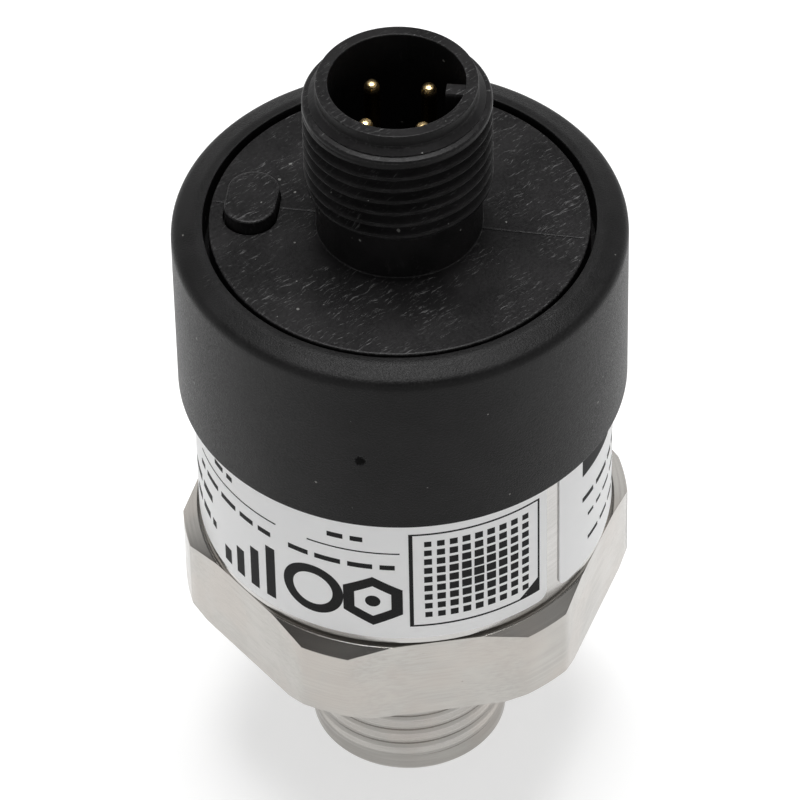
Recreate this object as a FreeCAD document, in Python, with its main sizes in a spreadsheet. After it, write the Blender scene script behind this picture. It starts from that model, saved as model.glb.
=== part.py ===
import FreeCAD, Part
import math
import os

import Sketcher

# Pressure transmitter: a stainless process port with a sensing cell, a tubular case with
# its electronics, and a moulded head that carries a round four-pole plug.
# Millimetres. +Z runs up the axis, and the origin is the centre of the stem's end face.

doc = FreeCAD.newDocument("PressureTransmitter")
sheet = doc.addObject("Spreadsheet::Sheet", "dims")


class Size:
    """A length or factor: the formula a property is bound to, and its present value."""

    def __init__(self, text, value):
        self.text = text
        self.value = value

    def _join(self, sign, other, value):
        text = other.text if isinstance(other, Size) else repr(other)
        return Size("(%s %s %s)" % (self.text, sign, text), value)

    def __add__(self, other):
        return self._join("+", other, self.value + number(other))

    def __sub__(self, other):
        return self._join("-", other, self.value - number(other))

    def __mul__(self, other):
        return self._join("*", other, self.value * number(other))

    def __truediv__(self, other):
        return self._join("/", other, self.value / number(other))

    def __neg__(self):
        return Size("(-1 * %s)" % self.text, -self.value)


def number(item):
    return item.value if isinstance(item, Size) else item


def size(alias, value, note):
    """One driving dimension: a row of the sheet with its name, value and meaning."""
    row = size.row = getattr(size, "row", 1) + 1
    sheet.set("A%d" % row, alias)
    sheet.set("B%d" % row, repr(value))
    sheet.set("C%d" % row, note)
    sheet.setAlias("B%d" % row, alias)
    return Size("dims." + alias, value)


for column, heading in zip("ABC", ("name", "value", "meaning")):
    sheet.set(column + "1", heading)

# Process port
stem_radius = size("stem_radius", 6.579, "major radius of the G 1/4 process thread")
stem_length = size("stem_length", 13.5, "stem, from its end face to the hexagon")
stem_lead = size("stem_lead", 0.8, "bevel on the end of the stem")
relief_depth = size("relief_depth", 1.03, "depth of the undercut behind the thread")
relief_width = size("relief_width", 2.0, "axial length of the undercut")
inlet_radius = size("inlet_radius", 2.5, "pressure inlet bore")
inlet_lead = size("inlet_lead", 0.5, "countersink of the inlet")
hex_across = size("hex_across", 27.0, "hexagon, across flats")
hex_stock = size("hex_stock", 1.25, "round stock of the hexagon, beyond its flats")
hex_height = size("hex_height", 5.92, "hexagon below its crown")
crown_land = size("crown_land", 0.25, "ledge of the crown outside the case")
crown_rise = size("crown_rise", 0.63, "height of the crown bevel")
spigot_height = size("spigot_height", 3.45, "spigot inside the case")
spigot_lead = size("spigot_lead", 0.3, "bevel on the spigot")

# Seal under the hexagon
seal_step = size("seal_step", 0.72, "land between the thread and the seal groove")
seal_width = size("seal_width", 2.2, "width of the seal groove")
seal_depth = size("seal_depth", 1.4, "depth of the seal groove")
seal_proud = size("seal_proud", 0.3, "how far the seal stands below the hexagon")
seal_play = size("seal_play", 0.05, "clearance of the seal in its groove")
seal_bevel = size("seal_bevel", 0.25, "bevel on the sealing edges")

# Sensing cell
cell_radius = size("cell_radius", 4.0, "body of the cell")
cell_land = size("cell_land", 1.0, "width of the weld flange")
cell_flange_rise = size("cell_flange_rise", 0.8, "thickness of the weld flange")
cell_height = size("cell_height", 3.7, "cell, from the port to its measuring face")
cell_wall = size("cell_wall", 1.6, "wall round the cell's cavity")
membrane = size("membrane", 0.5, "thickness of the measuring membrane")
wafer_inset = size("wafer_inset", 0.8, "rim of the cell outside the strain gauge layer")
wafer_thickness = size("wafer_thickness", 0.15, "thickness of the strain gauge layer")

# Case
case_proud = size("case_proud", 0.05, "outer radius of the steel case beyond the flats")
case_wall = size("case_wall", 0.8, "wall of the case")
case_length = size("case_length", 17.95, "case, from the crown to its upper edge")
case_edge = size("case_edge", 0.2, "bevel on the foot of the case")
press_gap = size("press_gap", 0.03, "radial gap between the spigot and the case")
label_thickness = size("label_thickness", 0.1, "name foil")
label_rise = size("label_rise", 0.75, "bare steel below the foil")
label_clear = size("label_clear", 0.5, "case left bare between the foil and the head ring")
label_gap = size("label_gap", 5.0, "angle left open between the ends of the foil")
label_start = size("label_start", -81.5, "azimuth of the foil's first end")

# Board carrier and boards
carrier_play = size("carrier_play", 0.12, "clearance between carrier and case")
carrier_wall = size("carrier_wall", 1.0, "wall of the carrier above the main board")
main_ledge = size("main_ledge", 0.8, "ledge under the main board")
sensor_ledge = size("sensor_ledge", 1.1, "ledge under the sensor board")
board_play = size("board_play", 0.1, "clearance round each board")
board_thickness = size("board_thickness", 1.0, "both boards")
main_seat = size("main_seat", 9.5, "main board's seat above the port")
cell_play = size("cell_play", 0.2, "clearance between sensor board and cell")
foil_width = size("foil_width", 3.0, "gauge foil")
foil_start = size("foil_start", 1.0, "inner end of the gauge foil")
foil_reach = size("foil_reach", 2.2, "length of foil bonded to the sensor board")
foil_thickness = size("foil_thickness", 0.12, "gauge foil and ribbon")
ribbon_width = size("ribbon_width", 5.0, "flexible ribbon between the boards")
ribbon_gap = size("ribbon_gap", 1.4, "gap between the ribbon and the carrier")
ribbon_tab = size("ribbon_tab", 2.4, "soldered ends of the ribbon")
part_inset = size("part_inset", 3.8, "centres of the boards' parts inside the carrier")
chip_side = size("chip_side", 4.0, "signal converter")
chip_height = size("chip_height", 0.9, "height of the signal converter")
amp_side = size("amp_side", 5.0, "output amplifier")
amp_height = size("amp_height", 1.1, "height of the output amplifier")
filter_length = size("filter_length", 3.2, "filter capacitor")
filter_width = size("filter_width", 1.6, "width and height of the filter capacitor")
diode_length = size("diode_length", 4.3, "surge diode")
diode_width = size("diode_width", 2.7, "width of the surge diode")
diode_height = size("diode_height", 2.1, "height of the surge diode")
can_radius = size("can_radius", 2.0, "buffer capacitor")
can_height = size("can_height", 4.2, "height of the buffer capacitor")
coil_side = size("coil_side", 3.8, "choke")
coil_height = size("coil_height", 2.2, "height of the choke")
post_radius = size("post_radius", 0.5, "ground post")
post_azimuth = size("post_azimuth", -59.0, "azimuth of the ground post")
post_play = size("post_play", 0.1, "clearance of the ground post in the boards")

# Head ring
head_wall = size("head_wall", 1.0, "wall of the head ring round the case")
head_overlap = size("head_overlap", 5.9, "case length inside the head ring")
head_rim = size("head_rim", 0.16, "rim of the head ring above the connector face")
rim_land = size("rim_land", 0.5, "flat inner land of the rim")
rim_fall = size("rim_fall", 0.4, "fall of the rim's sloping top")
rim_round = size("rim_round", 0.35, "bevel that stands for the rim's rounded outer edge")
head_edge = size("head_edge", 0.15, "edge break at the foot of the head ring")
seat_step = size("seat_step", 0.45, "step between the case's seat and the flange's seat")
flange_clear = size("flange_clear", 1.8, "height between the case seal and the flange")
slip = size("slip", 0.05, "slip fit between case, head ring and connector face")
face_gap = size("face_gap", 0.55, "open gap round the connector face")
gasket_width = size("gasket_width", 0.9, "section of both square sealing rings")
gasket_relief = size("gasket_relief", 0.02, "radial play of the sealing rings")

# Connector face with its round plug
flange_width = size("flange_width", 1.1, "flange round the connector face")
flange_height = size("flange_height", 2.0, "height of the flange")
face_height = size("face_height", 4.54, "connector face above the flange's foot")
face_skin = size("face_skin", 2.04, "thickness of the connector face")
skirt_wall = size("skirt_wall", 1.0, "wall of the hollow foot inside the seal groove")
neck_depth = size("neck_depth", 0.7, "neck below the plug's thread, under its major radius")
neck_height = size("neck_height", 3.4, "height of the neck")
plug_radius = size("plug_radius", 6.0, "major radius of the M12 thread")
plug_run = size("plug_run", 7.0, "thread with its runout")
rim_depth = size("rim_depth", 0.88, "collar above the thread, under its major radius")
rim_height = size("rim_height", 0.85, "height of the collar")
plug_height = size("plug_height", 11.96, "plug above the connector face")
socket_wall = size("socket_wall", 0.78, "wall of the collar round the socket")
socket_depth = size("socket_depth", 9.0, "depth of the socket")
key_reach = size("key_reach", 1.25, "how far the coding key stands into the socket")
key_width = size("key_width", 1.2, "width of the coding key")
key_drop = size("key_drop", 0.4, "top of the key below the plug's rim")

# Contacts
pin_radius = size("pin_radius", 0.5, "contact")
pin_orbit = size("pin_orbit", 2.55, "distance of each contact from the axis")
pin_drop = size("pin_drop", 1.8, "tips of the contacts below the plug's rim")
pin_collar = size("pin_collar", 0.9, "stop collar of the contact")
collar_height = size("collar_height", 0.7, "height of the stop collar")
pin_tail = size("pin_tail", 0.5, "contact below the main board")
pin_play = size("pin_play", 0.02, "clearance of the contacts in the moulding")
pin_tip = size("pin_tip", 0.3, "bevel on the tip of the contact")

# Vent
vent_inset = size("vent_inset", 2.5, "centre of the vent inside the face's edge")
vent_azimuth = size("vent_azimuth", 133.2, "azimuth of the vent")
vent_length = size("vent_length", 4.8, "vent cap, along the rim")
vent_width = size("vent_width", 3.3, "vent cap, across")
vent_rise = size("vent_rise", 0.95, "vent cap above the connector face")
vent_pocket = size("vent_pocket", 0.6, "depth of the vent's recess")
vent_play = size("vent_play", 0.08, "clearance round the vent cap")
vent_bevel = size("vent_bevel", 0.2, "bevel on the vent cap")
vent_hole = size("vent_hole", 0.6, "vent bore")
vent_disc = size("vent_disc", 1.1, "vent membrane")
vent_disc_rise = size("vent_disc_rise", 0.2, "thickness of the vent membrane")

# Levels and radii that follow from the sizes above
half_across = hex_across / 2
hex_round = half_across + hex_stock
case_radius = half_across + case_proud
crown_radius = case_radius + crown_land
relief_radius = stem_radius - relief_depth
seal_inner = stem_radius + seal_step
seal_outer = seal_inner + seal_width
crown_foot = stem_length + hex_height
crown_top = crown_foot + crown_rise
port_top = crown_top + spigot_height
sleeve_inner = case_radius - case_wall
case_top = crown_top + case_length
head_foot = case_top - head_overlap
label_width = head_foot - label_clear - crown_top - label_rise
cell_flange = cell_radius + cell_land
cell_cavity = cell_radius - cell_wall
carrier_outer = sleeve_inner - carrier_play
carrier_upper = carrier_outer - carrier_wall
carrier_middle = carrier_upper - main_ledge
carrier_lower = carrier_middle - sensor_ledge
part_orbit = carrier_middle - part_inset
sensor_seat = cell_height + wafer_thickness - board_thickness
sensor_top = port_top + sensor_seat + board_thickness
main_foot = port_top + main_seat
main_top = main_foot + board_thickness
flange_foot = case_top + gasket_width + flange_clear
skirt_bore = case_radius + slip
seat_radius = skirt_bore - seat_step
flange_radius = seat_radius - slip
face_radius = flange_radius - flange_width
shoulder = flange_foot + flange_height
face_top = flange_foot + face_height
plug_top = face_top + plug_height
head_top = face_top + head_rim
head_bore = face_radius + face_gap
groove_radius = seat_radius - gasket_width
skirt_radius = groove_radius - skirt_wall
neck_radius = plug_radius - neck_depth
rim_radius = plug_radius - rim_depth
socket_radius = rim_radius - socket_wall
hollow_top = face_height - face_skin
socket_floor = face_height + plug_height - socket_depth


def bind(thing, path, formula):
    thing.setExpression(path, formula.text)


def place(thing, label, lift, across=None, back=None):
    """Give a sub-part its name and the place of its own origin."""
    thing.Label = label
    thing.Placement = FreeCAD.Placement()
    for path, formula in (("x", across), ("y", back), ("z", lift)):
        if formula is not None:
            bind(thing, "Placement.Base." + path, formula)
    return thing


def new_body(label, lift, across=None, back=None):
    return place(doc.addObject("PartDesign::Body", label), label, lift, across, back)


def new_sketch(body, name, role, lift=None, turn=None):
    """A sketch on one of the body's own origin planes, raised and turned about Z on demand."""
    sketch = body.newObject("Sketcher::SketchObject", name)
    plane = [f for f in body.Origin.OriginFeatures if f.Role == role][0]
    sketch.AttachmentSupport = [(plane, "")]
    sketch.MapMode = "FlatFace"
    if turn is not None:
        spin = FreeCAD.Rotation(FreeCAD.Vector(0, 0, 1), turn.value)
        sketch.AttachmentOffset = FreeCAD.Placement(FreeCAD.Vector(), spin)
        bind(sketch, "AttachmentOffset.Rotation.Angle", turn)
    if lift is not None:
        bind(sketch, "AttachmentOffset.Base.z", lift)
    return sketch


def fix(sketch, geometry, end, across, up):
    """Bind one end of a sketch line, or a centre, to its distances from the sketch's origin."""
    for kind, axis, formula in (("DistanceX", -2, across), ("DistanceY", -1, up)):
        if formula is None:
            sketch.addConstraint(Sketcher.Constraint("PointOnObject", geometry, end, axis))
            continue
        index = sketch.addConstraint(
            Sketcher.Constraint(kind, -1, 1, geometry, end, formula.value))
        bind(sketch, "Constraints[%d]" % index, formula)


def outline(sketch, points):
    """A closed outline through points, each a pair of sizes; None stands for an axis."""
    corners = [FreeCAD.Vector(number(a) if a else 0, number(b) if b else 0, 0)
               for a, b in points]
    first = sketch.GeometryCount
    for here, there in zip(corners, corners[1:] + corners[:1]):
        sketch.addGeometry(Part.LineSegment(here, there), False)
    count = len(points)
    for i, (across, up) in enumerate(points):
        sketch.addConstraint(Sketcher.Constraint(
            "Coincident", first + (i - 1) % count, 2, first + i, 1))
        fix(sketch, first + i, 1, across, up)
    return sketch


def circle(sketch, radius, across=None, up=None):
    centre = FreeCAD.Vector(number(across) if across else 0, number(up) if up else 0, 0)
    index = sketch.addGeometry(
        Part.Circle(centre, FreeCAD.Vector(0, 0, 1), radius.value), False)
    limit = sketch.addConstraint(Sketcher.Constraint("Radius", index, radius.value))
    bind(sketch, "Constraints[%d]" % limit, radius)
    fix(sketch, index, 3, across, up)
    return sketch


def slot(sketch, across, length, width):
    """A slot whose long axis runs along the sketch's Y at the distance across from its origin."""
    radius = width / 2
    half = (length - width) / 2
    x, run, r = across.value, half.value, radius.value
    up = sketch.addGeometry(Part.ArcOfCircle(Part.Circle(
        FreeCAD.Vector(x, run, 0), FreeCAD.Vector(0, 0, 1), r), 0, math.pi), False)
    down = sketch.addGeometry(Part.ArcOfCircle(Part.Circle(
        FreeCAD.Vector(x, -run, 0), FreeCAD.Vector(0, 0, 1), r), math.pi, 2 * math.pi), False)
    left = sketch.addGeometry(Part.LineSegment(
        FreeCAD.Vector(x - r, run, 0), FreeCAD.Vector(x - r, -run, 0)), False)
    right = sketch.addGeometry(Part.LineSegment(
        FreeCAD.Vector(x + r, -run, 0), FreeCAD.Vector(x + r, run, 0)), False)
    for one, one_end, two, two_end in ((up, 2, left, 1), (left, 2, down, 1),
                                       (down, 2, right, 1), (right, 2, up, 1)):
        sketch.addConstraint(Sketcher.Constraint("Tangent", one, one_end, two, two_end))
    fix(sketch, up, 3, across, half)
    fix(sketch, down, 3, across, -half)
    limit = sketch.addConstraint(Sketcher.Constraint("Radius", up, r))
    bind(sketch, "Constraints[%d]" % limit, radius)
    return sketch


def turn(body, name, points):
    """Revolve an outline in the XZ plane about the body's Z axis."""
    sketch = outline(new_sketch(body, name + "_profile", "XZ_Plane"), points)
    feature = body.newObject("PartDesign::Revolution", name)
    feature.Profile = sketch
    feature.ReferenceAxis = (sketch, ["V_Axis"])
    feature.Angle = 360.0
    doc.recompute()
    return feature


def pad(body, name, sketch, length):
    feature = body.newObject("PartDesign::Pad", name)
    feature.Profile = sketch
    bind(feature, "Length", length)
    doc.recompute()
    return feature


def pocket(body, name, sketch, length):
    """Cut down from the sketch, and make sure that material went."""
    before = body.Shape.Volume
    feature = body.newObject("PartDesign::Pocket", name)
    feature.Profile = sketch
    bind(feature, "Length", length)
    doc.recompute()
    if not body.Shape.Volume < before:
        raise RuntimeError("%s cut nothing from %s" % (name, body.Label))
    return feature


def block(label, lift, centre_x, centre_y, length, width, height):
    """A rectangular part whose foot stands at lift, centred on the given point."""
    box = doc.addObject("Part::Box", label)
    for path, formula in (("Length", length), ("Width", width), ("Height", height)):
        bind(box, path, formula)
    return place(box, label, lift, centre_x - length / 2, centre_y - width / 2)


def gasket(label, lift, inner):
    """A sealing ring of square section that stands on its foot and fills its seat's height."""
    body = new_body(label, lift)
    turn(body, label + "_turning", [
        (inner + gasket_relief, None),
        (inner + gasket_width - gasket_relief, None),
        (inner + gasket_width - gasket_relief, gasket_width),
        (inner + gasket_relief, gasket_width)])
    return body


def disc(label, lift, radius, height, across=None, back=None):
    cylinder = doc.addObject("Part::Cylinder", label)
    bind(cylinder, "Radius", radius)
    bind(cylinder, "Height", height)
    return place(cylinder, label, lift, across, back)


nothing = stem_length - stem_length
parts = []

# Port: a turned stem with its undercut, a bevelled hexagon and a spigot for the case.
port = new_body("pressure_port", nothing)
thread_root = stem_radius - relief_radius
turn(port, "port_turning", [
    (inlet_radius + inlet_lead, None),
    (stem_radius - stem_lead, None),
    (stem_radius, stem_lead),
    (stem_radius, stem_length - relief_width),
    (relief_radius, stem_length - relief_width + thread_root),
    (relief_radius, stem_length),
    (seal_inner, stem_length),
    (seal_inner, stem_length + seal_depth),
    (seal_outer, stem_length + seal_depth),
    (seal_outer, stem_length),
    (hex_round, stem_length),
    (hex_round, crown_foot),
    (crown_radius, crown_top),
    (sleeve_inner - press_gap, crown_top),
    (sleeve_inner - press_gap, port_top - spigot_lead),
    (sleeve_inner - press_gap - spigot_lead, port_top),
    (inlet_radius, port_top),
    (inlet_radius, inlet_lead)])
flats = new_sketch(port, "hexagon_outline", "XY_Plane", crown_top)
half_side = half_across * Size("tan(30)", math.tan(math.radians(30)))
outline(flats, [
    (half_across, half_side),
    (None, half_side * 2),
    (-half_across, half_side),
    (-half_across, -half_side),
    (None, -half_side * 2),
    (half_across, -half_side)])
circle(flats, hex_round * 2)
pocket(port, "hexagon", flats, hex_height + crown_rise)
parts.append(port)

# Profile seal in the groove under the hexagon.
seal = new_body("thread_seal", stem_length - seal_proud)
turn(seal, "seal_turning", [
    (seal_inner + seal_play + seal_bevel, None),
    (seal_outer - seal_play - seal_bevel, None),
    (seal_outer - seal_play, seal_bevel),
    (seal_outer - seal_play, seal_depth + seal_proud),
    (seal_inner + seal_play, seal_depth + seal_proud),
    (seal_inner + seal_play, seal_bevel)])
parts.append(seal)

# Welded cell: a cup whose closed end is the measuring membrane, and the gauges on it.
cell = new_body("sensor_cell", port_top)
turn(cell, "cell_turning", [
    (cell_cavity, None),
    (cell_flange, None),
    (cell_flange, cell_flange_rise),
    (cell_radius, cell_flange_rise),
    (cell_radius, cell_height),
    (None, cell_height),
    (None, cell_height - membrane),
    (cell_cavity, cell_height - membrane)])
parts.append(cell)
parts.append(disc("strain_gauge", port_top + cell_height, cell_radius - wafer_inset, wafer_thickness))

# Stepped carrier: a tube between port and connector face with a seat for each board.
carrier = new_body("board_carrier", port_top)
turn(carrier, "carrier_turning", [
    (carrier_lower, None),
    (carrier_outer, None),
    (carrier_outer, flange_foot - port_top),
    (carrier_upper, flange_foot - port_top),
    (carrier_upper, main_seat),
    (carrier_middle, main_seat),
    (carrier_middle, sensor_seat),
    (carrier_lower, sensor_seat)])
parts.append(carrier)

# Sensor board round the cell, flush with its gauges, and what is soldered to it.
post_turn = math.radians(post_azimuth.value)
post_x = part_orbit * Size("cos(dims.post_azimuth)", math.cos(post_turn))
post_y = part_orbit * Size("sin(dims.post_azimuth)", math.sin(post_turn))
sensor_board = new_body("sensor_board", port_top + sensor_seat)
board_plan = new_sketch(sensor_board, "sensor_board_plan", "XY_Plane")
circle(board_plan, carrier_middle - board_play)
circle(board_plan, cell_radius + cell_play)
circle(board_plan, post_radius + post_play, post_x, post_y)
pad(sensor_board, "sensor_laminate", board_plan, board_thickness)
parts.append(sensor_board)
foil_length = cell_radius + cell_play + foil_reach - foil_start
parts.append(block("gauge_foil", sensor_top, foil_start + foil_length / 2, nothing,
                   foil_length, foil_width, foil_thickness))
parts.append(block("signal_converter", sensor_top, nothing, part_orbit,
                   chip_side, chip_side, chip_height))
parts.append(block("filter_capacitor", sensor_top, nothing, -part_orbit,
                   filter_length, filter_width, filter_width))

# Ribbon: two soldered tabs joined by a riser, bent from one strip.
ribbon = new_body("flex_ribbon", sensor_top, None, -ribbon_width / 2)
ribbon_side = new_sketch(ribbon, "ribbon_side", "XZ_Plane")
ribbon_reach = carrier_middle - ribbon_gap
ribbon_inner = ribbon_reach - foil_thickness
ribbon_rise = main_foot - sensor_top
outline(ribbon_side, [
    (-(ribbon_reach - ribbon_tab), None),
    (-ribbon_reach, None),
    (-ribbon_reach, ribbon_rise),
    (-(ribbon_reach - ribbon_tab), ribbon_rise),
    (-(ribbon_reach - ribbon_tab), ribbon_rise - foil_thickness),
    (-ribbon_inner, ribbon_rise - foil_thickness),
    (-ribbon_inner, foil_thickness),
    (-(ribbon_reach - ribbon_tab), foil_thickness)])
strip = pad(ribbon, "ribbon_strip", ribbon_side, ribbon_width)
strip.Reversed = True
parts.append(ribbon)

# Main board across the carrier, drilled for the contacts and the ground post.
main_board = new_body("main_board", main_foot)
main_plan = new_sketch(main_board, "main_board_plan", "XY_Plane")
circle(main_plan, carrier_upper - board_play)
circle(main_plan, post_radius + post_play, post_x, post_y)
quarters = ((pin_orbit, None), (None, pin_orbit), (-pin_orbit, None), (None, -pin_orbit))
for across, back in quarters:
    circle(main_plan, pin_radius + pin_play, across, back)
pad(main_board, "main_laminate", main_plan, board_thickness)
parts.append(main_board)
parts.append(block("output_amplifier", main_top, nothing, part_orbit,
                   amp_side, amp_side, amp_height))
parts.append(block("surge_diode", main_top, nothing, -part_orbit,
                   diode_length, diode_width, diode_height))
parts.append(disc("buffer_capacitor", main_top, can_radius, can_height, -part_orbit))
parts.append(block("choke", main_top, part_orbit, nothing,
                   coil_side, coil_side, coil_height))
parts.append(disc("ground_post", port_top, post_radius, main_top + pin_tail - port_top,
                  post_x, post_y))

# Contacts: blunt pins with a stop collar under the connector face and a soldered tail.
pin_foot = main_foot - pin_tail
pin_length = plug_top - pin_drop - pin_foot
collar_top = flange_foot + hollow_top - pin_foot
for index, (across, back) in enumerate(quarters, 1):
    pin = new_body("contact_pin_%d" % index, pin_foot, across, back)
    turn(pin, "pin_turning_%d" % index, [
        (None, None),
        (pin_radius, None),
        (pin_radius, collar_top - collar_height),
        (pin_collar, collar_top - collar_height),
        (pin_collar, collar_top),
        (pin_radius, collar_top),
        (pin_radius, pin_length - pin_tip),
        (pin_radius - pin_tip, pin_length),
        (None, pin_length)])
    parts.append(pin)

# Connector face: flange with its seal groove, the disc and the threaded plug, one moulding.
face = new_body("connector_face", flange_foot)
groove_foot = (flange_height - gasket_width) / 2
plug_rise = face_height + plug_height
thread_foot = face_height + neck_height
turn(face, "face_turning", [
    (None, hollow_top),
    (skirt_radius, hollow_top),
    (skirt_radius, None),
    (flange_radius, None),
    (flange_radius, groove_foot),
    (groove_radius, groove_foot),
    (groove_radius, groove_foot + gasket_width),
    (flange_radius, groove_foot + gasket_width),
    (flange_radius, flange_height),
    (face_radius, flange_height),
    (face_radius, face_height),
    (neck_radius, face_height),
    (neck_radius, thread_foot),
    (plug_radius, thread_foot + plug_radius - neck_radius),
    (plug_radius, thread_foot + plug_run),
    (rim_radius, plug_rise - rim_height),
    (rim_radius, plug_rise),
    (socket_radius, plug_rise),
    (socket_radius, socket_floor),
    (None, socket_floor)])

# Coding key on the socket's wall, halfway between two contacts.
key_plan = new_sketch(face, "key_plan", "XY_Plane", socket_floor)
diagonal = Size("cos(45)", math.cos(math.radians(45)))
key_inner = (socket_radius - key_reach) * diagonal
key_outer = (socket_radius + rim_radius) / 2 * diagonal
key_half = key_width / 2 * diagonal
outline(key_plan, [
    (key_inner + key_half, key_half - key_inner),
    (key_inner - key_half, -key_inner - key_half),
    (key_outer - key_half, -key_outer - key_half),
    (key_outer + key_half, key_half - key_outer)])
pad(face, "coding_key", key_plan, socket_depth - key_drop)

# Bores for the contacts, and the recess and bore of the vent.
pin_plan = new_sketch(face, "pin_plan", "XY_Plane", socket_floor)
for across, back in quarters:
    circle(pin_plan, pin_radius + pin_play, across, back)
pocket(face, "pin_bores", pin_plan, socket_floor - hollow_top)
vent_orbit = face_radius - vent_inset
recess_plan = new_sketch(face, "vent_recess_plan", "XY_Plane", face_height, vent_azimuth)
slot(recess_plan, vent_orbit, vent_length + vent_play * 2, vent_width + vent_play * 2)
pocket(face, "vent_recess", recess_plan, vent_pocket)
bore_plan = new_sketch(face, "vent_bore_plan", "XY_Plane", face_height, vent_azimuth)
circle(bore_plan, vent_hole, vent_orbit)
pocket(face, "vent_bore", bore_plan, face_skin)
parts.append(face)

# Vent: a porous disc under an oval cap that stands in the recess.
vent_foot = face_top - vent_pocket
vent_turn = math.radians(vent_azimuth.value)
vent_x = vent_orbit * Size("cos(dims.vent_azimuth)", math.cos(vent_turn))
vent_y = vent_orbit * Size("sin(dims.vent_azimuth)", math.sin(vent_turn))
parts.append(disc("vent_membrane", vent_foot, vent_disc, vent_disc_rise, vent_x, vent_y))
cap = new_body("vent_cap", vent_foot)
cap_plan = new_sketch(cap, "cap_plan", "XY_Plane", None, vent_azimuth)
slot(cap_plan, vent_orbit, vent_length, vent_width)
cap_block = pad(cap, "cap_block", cap_plan, vent_pocket + vent_rise)
cap_top = [
    "Edge%d" % index for index, edge in enumerate(cap_block.Shape.Edges, 1)
    if abs(edge.BoundBox.ZMin - cap_block.Shape.BoundBox.ZMax) < Part.Precision.approximation()]
cap_bevel = cap.newObject("PartDesign::Chamfer", "cap_bevel")
cap_bevel.Base = (cap_block, cap_top)
bind(cap_bevel, "Size", vent_bevel)
doc.recompute()
hollow_plan = new_sketch(cap, "cap_hollow_plan", "XY_Plane", vent_disc_rise, vent_azimuth)
circle(hollow_plan, vent_disc + vent_play, vent_orbit)
pocket(cap, "cap_hollow", hollow_plan, vent_disc_rise)
parts.append(cap)

# Steel case: a thin tube that stands on the crown and reaches into the head ring.
sleeve = new_body("case_sleeve", crown_top)
turn(sleeve, "sleeve_turning", [
    (sleeve_inner, None),
    (case_radius - case_edge, None),
    (case_radius, case_edge),
    (case_radius, case_length),
    (sleeve_inner, case_length)])
parts.append(sleeve)

# Head ring: slides over the case, traps the connector face and stands just proud of it.
head = new_body("head_ring", head_foot)
head_rise = head_top - head_foot
head_radius = skirt_bore + head_wall
turn(head, "head_turning", [
    (skirt_bore, None),
    (head_radius - head_edge, None),
    (head_radius, head_edge),
    (head_radius, head_rise - rim_fall - rim_round),
    (head_radius - rim_round, head_rise - rim_fall),
    (head_bore + rim_land, head_rise),
    (head_bore, head_rise),
    (head_bore, shoulder - head_foot),
    (seat_radius, shoulder - head_foot),
    (seat_radius, head_overlap + gasket_width),
    (skirt_bore, head_overlap + gasket_width)])
parts.append(head)

# Square sealing rings: one on the case's upper edge, one in the flange's groove.
parts.append(gasket("case_seal", case_top, skirt_bore - gasket_width))
parts.append(gasket("face_seal", flange_foot + groove_foot, groove_radius))

# Name foil round the case, with a narrow gap between its ends.
foil = new_body("name_label", crown_top + label_rise)
foil_turning = turn(foil, "foil_turning", [
    (case_radius, None),
    (case_radius + label_thickness, None),
    (case_radius + label_thickness, label_width),
    (case_radius, label_width)])
bind(foil_turning, "Angle", Size("360", 360.0) - label_gap)
foil.Placement = FreeCAD.Placement(
    FreeCAD.Vector(), FreeCAD.Rotation(FreeCAD.Vector(0, 0, 1), label_start.value))
bind(foil, "Placement.Rotation.Angle", label_start)
bind(foil, "Placement.Base.z", crown_top + label_rise)
parts.append(foil)

doc.recompute()

for thing in doc.Objects:
    faults = [word for word in thing.State if word in ("Invalid", "Error")]
    if faults:
        raise RuntimeError("%s is %s" % (thing.Label, ", ".join(faults)))
for part in parts:
    if part.Shape.isNull() or not part.Shape.isValid():
        raise RuntimeError("%s has no valid shape" % part.Label)

os.makedirs("parts", exist_ok=True)
for part in parts:
    part.Shape.exportStep("parts/%s.step" % part.Label)
    print("%-18s volume %9.2f  z %6.2f to %6.2f" % (
        part.Label, part.Shape.Volume, part.Shape.BoundBox.ZMin, part.Shape.BoundBox.ZMax))
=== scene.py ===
import bpy
import numpy as np
from mathutils import Matrix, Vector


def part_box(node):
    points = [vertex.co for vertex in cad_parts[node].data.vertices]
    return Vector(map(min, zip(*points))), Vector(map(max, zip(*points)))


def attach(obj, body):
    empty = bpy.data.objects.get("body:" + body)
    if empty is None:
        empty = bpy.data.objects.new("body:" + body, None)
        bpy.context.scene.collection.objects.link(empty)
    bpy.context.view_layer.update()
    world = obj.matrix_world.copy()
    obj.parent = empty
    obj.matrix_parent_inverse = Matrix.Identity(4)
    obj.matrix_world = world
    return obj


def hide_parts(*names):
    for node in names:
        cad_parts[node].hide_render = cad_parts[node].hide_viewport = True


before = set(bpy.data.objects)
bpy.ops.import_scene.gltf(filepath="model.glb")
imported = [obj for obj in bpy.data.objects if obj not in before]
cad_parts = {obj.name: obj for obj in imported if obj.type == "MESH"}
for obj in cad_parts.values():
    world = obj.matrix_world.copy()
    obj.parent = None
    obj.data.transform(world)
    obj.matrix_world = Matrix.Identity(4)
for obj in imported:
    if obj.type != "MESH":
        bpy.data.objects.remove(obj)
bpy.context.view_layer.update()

# Process port. The stem, the hexagon and the spigot are one bar of stainless steel, turned,
# milled to six flats and threaded with a pipe thread. It is the part that the others sit on.
MM = 0.001
STEEL = (0.41, 0.395, 0.372)


def put(tree, kind, sockets=None, **settings):
    """Adds one shader node; each socket gets a value, or a link when it is given an output."""
    made = tree.nodes.new("ShaderNode" + kind)
    for name, value in settings.items():
        setattr(made, name, value)
    for name, value in (sockets or {}).items():
        if isinstance(value, bpy.types.NodeSocket):
            tree.links.new(value, made.inputs[name])
        else:
            made.inputs[name].default_value = value
    return made


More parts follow.
